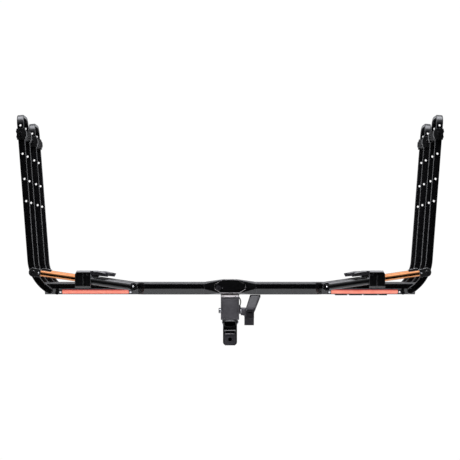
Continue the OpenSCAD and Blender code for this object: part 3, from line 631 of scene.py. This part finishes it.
# A light sliver on top of the tongue's end plate: a painted highlight along its sloping edge
plate_low, plate_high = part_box("tongue_end_plate")
edge_foot = Vector((0, plate_low.y, plate_high.z - 2.5 * MM))
plate_strip("tongue_top_edge", plate_outline(19 * MM, 0.2 * MM, 3.2 * MM), 0.5 * MM, edge_foot,
            sideways, Vector((0, 1, 1)).normalized(), "satin_strip", "hitch_mount", 0.1 * MM)


RIDGE_RISE, RIDGE_CORNER = 1.2 * MM, 0.5 * MM


def ridge(name, points, width):
    """Low rounded ridges between neighbouring points on the hub's rear face."""
    verts, faces = [], []
    for start, end in zip(points, points[1:]):
        along = (end - start).normalized()
        over = REARWARD.cross(along)
        tip = along * width / 2
        rings = [
            [p + over * x * size - Vector((0, y * size, 0))
             for x, y in round_box_ring(width, RIDGE_RISE, RIDGE_CORNER, 3)]
            for p, size in ((start - tip, 0.5), (start, 1.0), (end, 1.0), (end + tip, 0.5))
        ]
        v, f = skin(rings)
        faces += [tuple(i + len(verts) for i in face) for face in f]
        verts += v
    return make(name, verts, faces, "satin_strip", "carrier")


# Light ridges round the hub's outline paint its highlight, strongest along its foot
hub_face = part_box("tray_hubs")[0].y
upper = ((-56, 211), (-56, 227), (-26, 243.5), (26, 243.5), (56, 227), (56, 211))
foot = ((-56, 210.5), (-33.6, 195.8), (33.6, 195.8), (56, 210.5))
for name, corners, width in (("hub_edge_upper", upper, 0.4 * MM), ("hub_edge_foot", foot, 1.1 * MM)):
    ridge(name, [Vector((x * MM, hub_face, z * MM)) for x, z in corners], width)


def flange(name, path, profile, body):
    """A lip along a path of top edge points, its profile given as (out, up) in millimetres."""
    rings = []
    for i, p in enumerate(path):
        ring = [p + Vector((0, y * MM, z * MM)) for y, z in profile]
        if i in (0, len(path) - 1):
            heart = sum(ring, Vector()) / len(ring)
            ring = [heart + (q - heart) * 0.8 for q in ring]
        rings.append(ring)
    verts, faces = skin(rings)
    made = make(name, verts, faces, "black_coat", body)
    made.data.set_sharp_from_angle(angle=math.radians(15))
    return made


STRUT_Y = -93 * MM
BASE_PIN_END = -111 * MM
LEVER_HALF = 14 * MM
EYE_INSET, EYE_LIFT = 16.5 * MM, 0.4 * MM
SCREW_FROM_EYE, SCREW_DROP = 19.5 * MM, 2.8 * MM
LIP_INSETS = (6 * MM, 7.5 * MM, -1.5 * MM, 0.0)
HEAD_LIP = [(0.5, -0.2), (-0.4, -0.3), (-5.8, -5.7), (-6.1, -6.6), (-5.6, -7.4), (0.5, -8.6)]
LEVER_LIP = [(0.4, -0.2), (-0.3, -0.3), (-3.2, -3.2), (-3.4, -3.8), (-3.0, -4.4), (0.4, -6.4)]
LEVER_TOP = [(496.5, 275.8), (495.5, 275.8), (482, 275.7), (454, 270.0), (453, 269.7)]

for tray, side in SETS:
    own = f"{tray}_{side}"
    sign = -1 if side == "left" else 1
    low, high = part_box(f"rod_end_{own}")
    outer = low.x if side == "left" else high.x
    eye = Vector((outer - sign * EYE_INSET, low.y + SUNK, (low.z + high.z) / 2 + EYE_LIFT))
    screw = eye - Vector((sign * SCREW_FROM_EYE, 0, SCREW_DROP))
    cap_head(f"eye_bolt_{own}", eye, 7.5 * MM, 2.2 * MM, "black_coat", f"strut_rod_{own}")
    cap_head(f"rod_lock_screw_{own}", screw, 2.5 * MM, 1.2 * MM, "zinc", f"strut_rod_{own}")
    # The lever's lip over the head and along its own top
    low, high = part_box(f"strut_head_{own}")
    outer, inner = (low.x, high.x) if side == "left" else (high.x, low.x)
    ends = (outer, outer, inner, inner)
    path = [Vector((x - sign * inset, low.y, high.z)) for x, inset in zip(ends, LIP_INSETS)]
    flange(f"head_lip_{own}", path, HEAD_LIP, f"strut_cylinder_{own}")
    base = Vector(JOINTS[f"strut_swing_{own}"]["pos_m"])
    tray_y = base.y - STRUT_Y
    path = [Vector((sign * x * MM, base.y - LEVER_HALF, z * MM)) for x, z in LEVER_TOP]
    flange(f"lever_lip_{own}", path, LEVER_LIP, f"release_lever_{own}")
    pin_end = Vector((base.x, tray_y + BASE_PIN_END, base.z))
    cap_head(f"base_bolt_{own}", pin_end, 3.2 * MM, 1.4 * MM, "zinc", "carrier")

# ---------- stage, light and camera ----------

FLOOR_Z = -0.75
CAMERA_PLACE = (0, -6.541, 0.2685)
FOCAL_LENGTH = 121.46
LENS_SHIFT = 43 / 460


def stage_floor():
    """A plain pale floor, wide enough that its edge meets the pale background."""
    mesh = bpy.data.meshes.new("floor")
    half, near = 60.0, -1.5
    corners = [(x, y, FLOOR_Z) for x, y in ((-half, near), (half, near), (half, half), (-half, half))]
    mesh.from_pydata(corners, [], [(0, 1, 2, 3)])
    floor = bpy.data.objects.new("floor", mesh)
    bpy.context.scene.collection.objects.link(floor)
    made, tree, shader, coords = blank("pale_floor")
    cloud = noise(tree, coords, 0.6, 3.0)
    colour = mix(tree, remap(tree, cloud, 0.0, 1.0, 0.3, 0.7), (0.9, 0.9, 0.9), (0.94, 0.94, 0.94))
    tree.links.new(colour, shader.inputs["Base Color"])
    shader.inputs["Roughness"].default_value = 0.9
    shader.inputs["Specular IOR Level"].default_value = 0.0
    shader.inputs["Emission Color"].default_value = (1, 1, 1, 1)
    shader.inputs["Emission Strength"].default_value = 0.35
    bright = node(tree, "Emission", strength=1.02)
    choose = node(tree, "MixShader")
    tree.links.new(node(tree, "LightPath").outputs["Is Camera Ray"], choose.inputs[0])
    tree.links.new(shader.outputs[0], choose.inputs[1])
    tree.links.new(bright.outputs[0], choose.inputs[2])
    tree.links.new(choose.outputs[0], tree.nodes["Material Output"].inputs["Surface"])
    mesh.materials.append(made)


def studio_world():
    """White to the camera; to the object, bright above and ahead of it and dark behind the camera."""
    world = bpy.data.worlds.new("studio")
    bpy.context.scene.world = world
    world.use_nodes = True
    tree = world.node_tree
    tree.nodes.clear()
    direction = node(tree, "TexCoord").outputs["Generated"]
    split = node(tree, "SeparateXYZ")
    tree.links.new(direction, split.inputs[0])
    above = remap(tree, split.outputs["Z"], 0.0, 1.6, 0.35, 1.0)
    ahead = remap(tree, split.outputs["Y"], 0.0, 0.8, 0.1, 0.7)
    either = node(tree, "Math", operation="MAXIMUM")
    tree.links.new(above, either.inputs[0])
    tree.links.new(ahead, either.inputs[1])
    lit = node(tree, "Background")
    tree.links.new(either.outputs[0], lit.inputs["Strength"])
    lit.inputs["Color"].default_value = (0.94, 0.96, 1.0, 1.0)
    white = node(tree, "Background", strength=1.02)
    white.inputs["Color"].default_value = (1, 1, 1, 1)
    choose = node(tree, "MixShader")
    tree.links.new(node(tree, "LightPath").outputs["Is Camera Ray"], choose.inputs[0])
    tree.links.new(lit.outputs[0], choose.inputs[1])
    tree.links.new(white.outputs[0], choose.inputs[2])
    out = node(tree, "OutputWorld")
    tree.links.new(choose.outputs[0], out.inputs[0])


def softbox(name, place, aim, width, height, power, tint=(1, 1, 1)):
    """A rectangular studio light that the camera doesn't see."""
    lamp = bpy.data.lights.new(name, "AREA")
    lamp.shape = "RECTANGLE"
    lamp.size = width
    lamp.size_y = height
    lamp.energy = power
    lamp.color = tint
    made = bpy.data.objects.new(name, lamp)
    bpy.context.scene.collection.objects.link(made)
    made.location = place
    made.rotation_euler = (Vector(aim) - Vector(place)).to_track_quat("-Z", "Y").to_euler()
    made.visible_camera = False
    return made


def camera():
    """A long lens behind the rack, level, with the view shifted down by the lens."""
    lens = bpy.data.cameras.new("camera")
    lens.lens = FOCAL_LENGTH
    lens.sensor_width = 36.0
    lens.clip_end = 200
    made = bpy.data.objects.new("camera", lens)
    bpy.context.scene.collection.objects.link(made)
    lens.shift_y = LENS_SHIFT
    made.location = CAMERA_PLACE
    made.rotation_euler = (math.radians(90), 0, 0)
    bpy.context.scene.camera = made


stage_floor()
studio_world()
middle = (cad_box[0] + cad_box[1]) / 2


def pieces_named(*parts, but=()):
    """A collection of the pieces whose names hold any of some words and none of others."""
    found = bpy.data.collections.new("_".join(parts) or "everything")
    for piece in bpy.data.objects:
        if piece.type == "MESH" and (not parts or any(p in piece.name for p in parts)):
            if not any(p in piece.name for p in but):
                found.objects.link(piece)
    return found


OVERHEAD = ((0, -0.9, 2.8), middle, 3.2, 1.6)
lamp = softbox("top_light", *OVERHEAD, 110, (0.93, 0.94, 1.0))
lamp.light_linking.receiver_collection = pieces_named(but=("strut_rod",))
# The polished rods take a share of the light from above
lamp = softbox("rod_light", *OVERHEAD, 30, (1.0, 0.97, 0.94))
lamp.light_linking.receiver_collection = pieces_named("strut_rod")
# Each side light only reaches the arm sets across from it, so that inner edges shine
for side, x in (("left", 2.4), ("right", -2.4)):
    lamp = softbox(f"{side}_sets_light", (x, -1.0, 0.55), (-0.3 * x, -0.7, 0.5), 0.9, 1.3, 34,
                   (0.95, 0.96, 1.0))
    lamp.light_linking.receiver_collection = pieces_named(side)
# Grey parts and the light pieces that paint highlights are lit from in front, high up
lamp = softbox("front_light", (0, -4.2, 3.6), (0, -0.9, 0.2), 1.4, 1.0, 240)
lamp.light_linking.receiver_collection = pieces_named(
    "cap_top_strip", "tongue_end_plate", "spine_end_cap", "tilt_lever", "bolt", "screw", "rod_end",
    "hub_edge", "tongue_top_edge")
camera()
bpy.context.scene.view_settings.view_transform = "Standard"

bpy.context.view_layer.update()
